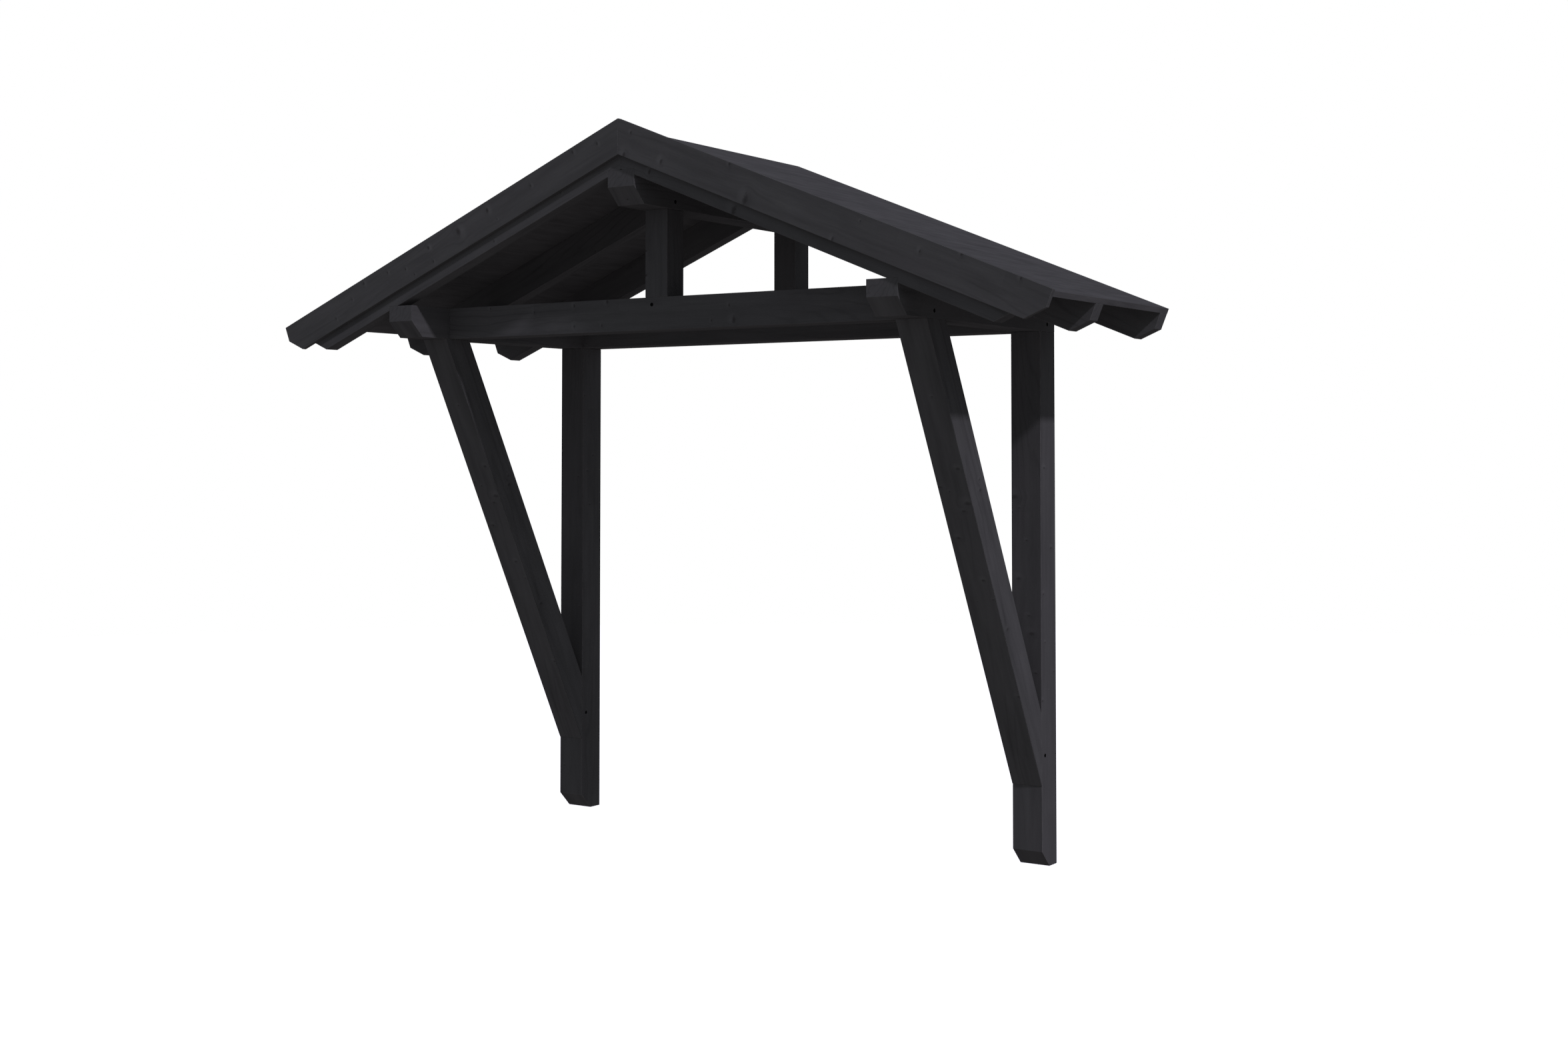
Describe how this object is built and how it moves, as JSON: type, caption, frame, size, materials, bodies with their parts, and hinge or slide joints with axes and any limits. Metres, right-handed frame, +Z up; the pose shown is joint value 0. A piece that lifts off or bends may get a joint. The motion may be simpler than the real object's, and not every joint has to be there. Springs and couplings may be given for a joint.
{
  "type": "door canopy",
  "caption": "Wall-hung timber door canopy: braced wall posts carry purlins, tie beams, rafters and a gable roof deck with barge boards.",
  "frame": {"origin": "centre of the rear tie beam's wall face, in the wall's plane, midway between the wall posts", "axes": "+X to the right as seen from in front, +Y into the wall, +Z up"},
  "size_m": [2.5574, 0.878, 2.0301],
  "materials": {
    "frame_timber": "dark grey stain, satin",
    "rafter_timber": "dark grey stain, satin",
    "barge_board": "dark grey stain, satin",
    "deck_board": "dark grey stain, satin"
  },
  "bodies": {
    "root": {"wall_post_left": "frame_timber", "wall_post_right": "frame_timber", "brace_left": "frame_timber", "brace_right": "frame_timber", "eave_purlin_left": "frame_timber", "eave_purlin_right": "frame_timber", "tie_beam_front": "frame_timber", "tie_beam_rear": "frame_timber", "king_post_front": "frame_timber", "king_post_rear": "frame_timber", "ridge_purlin": "frame_timber", "rafter_front_left": "rafter_timber", "rafter_front_right": "rafter_timber", "rafter_middle_left": "rafter_timber", "rafter_middle_right": "rafter_timber", "rafter_rear_left": "rafter_timber", "rafter_rear_right": "rafter_timber", "barge_board_left": "barge_board", "barge_board_right": "barge_board", "roof_deck_left": "deck_board", "roof_deck_right": "deck_board"}
  },
  "joints": []
}
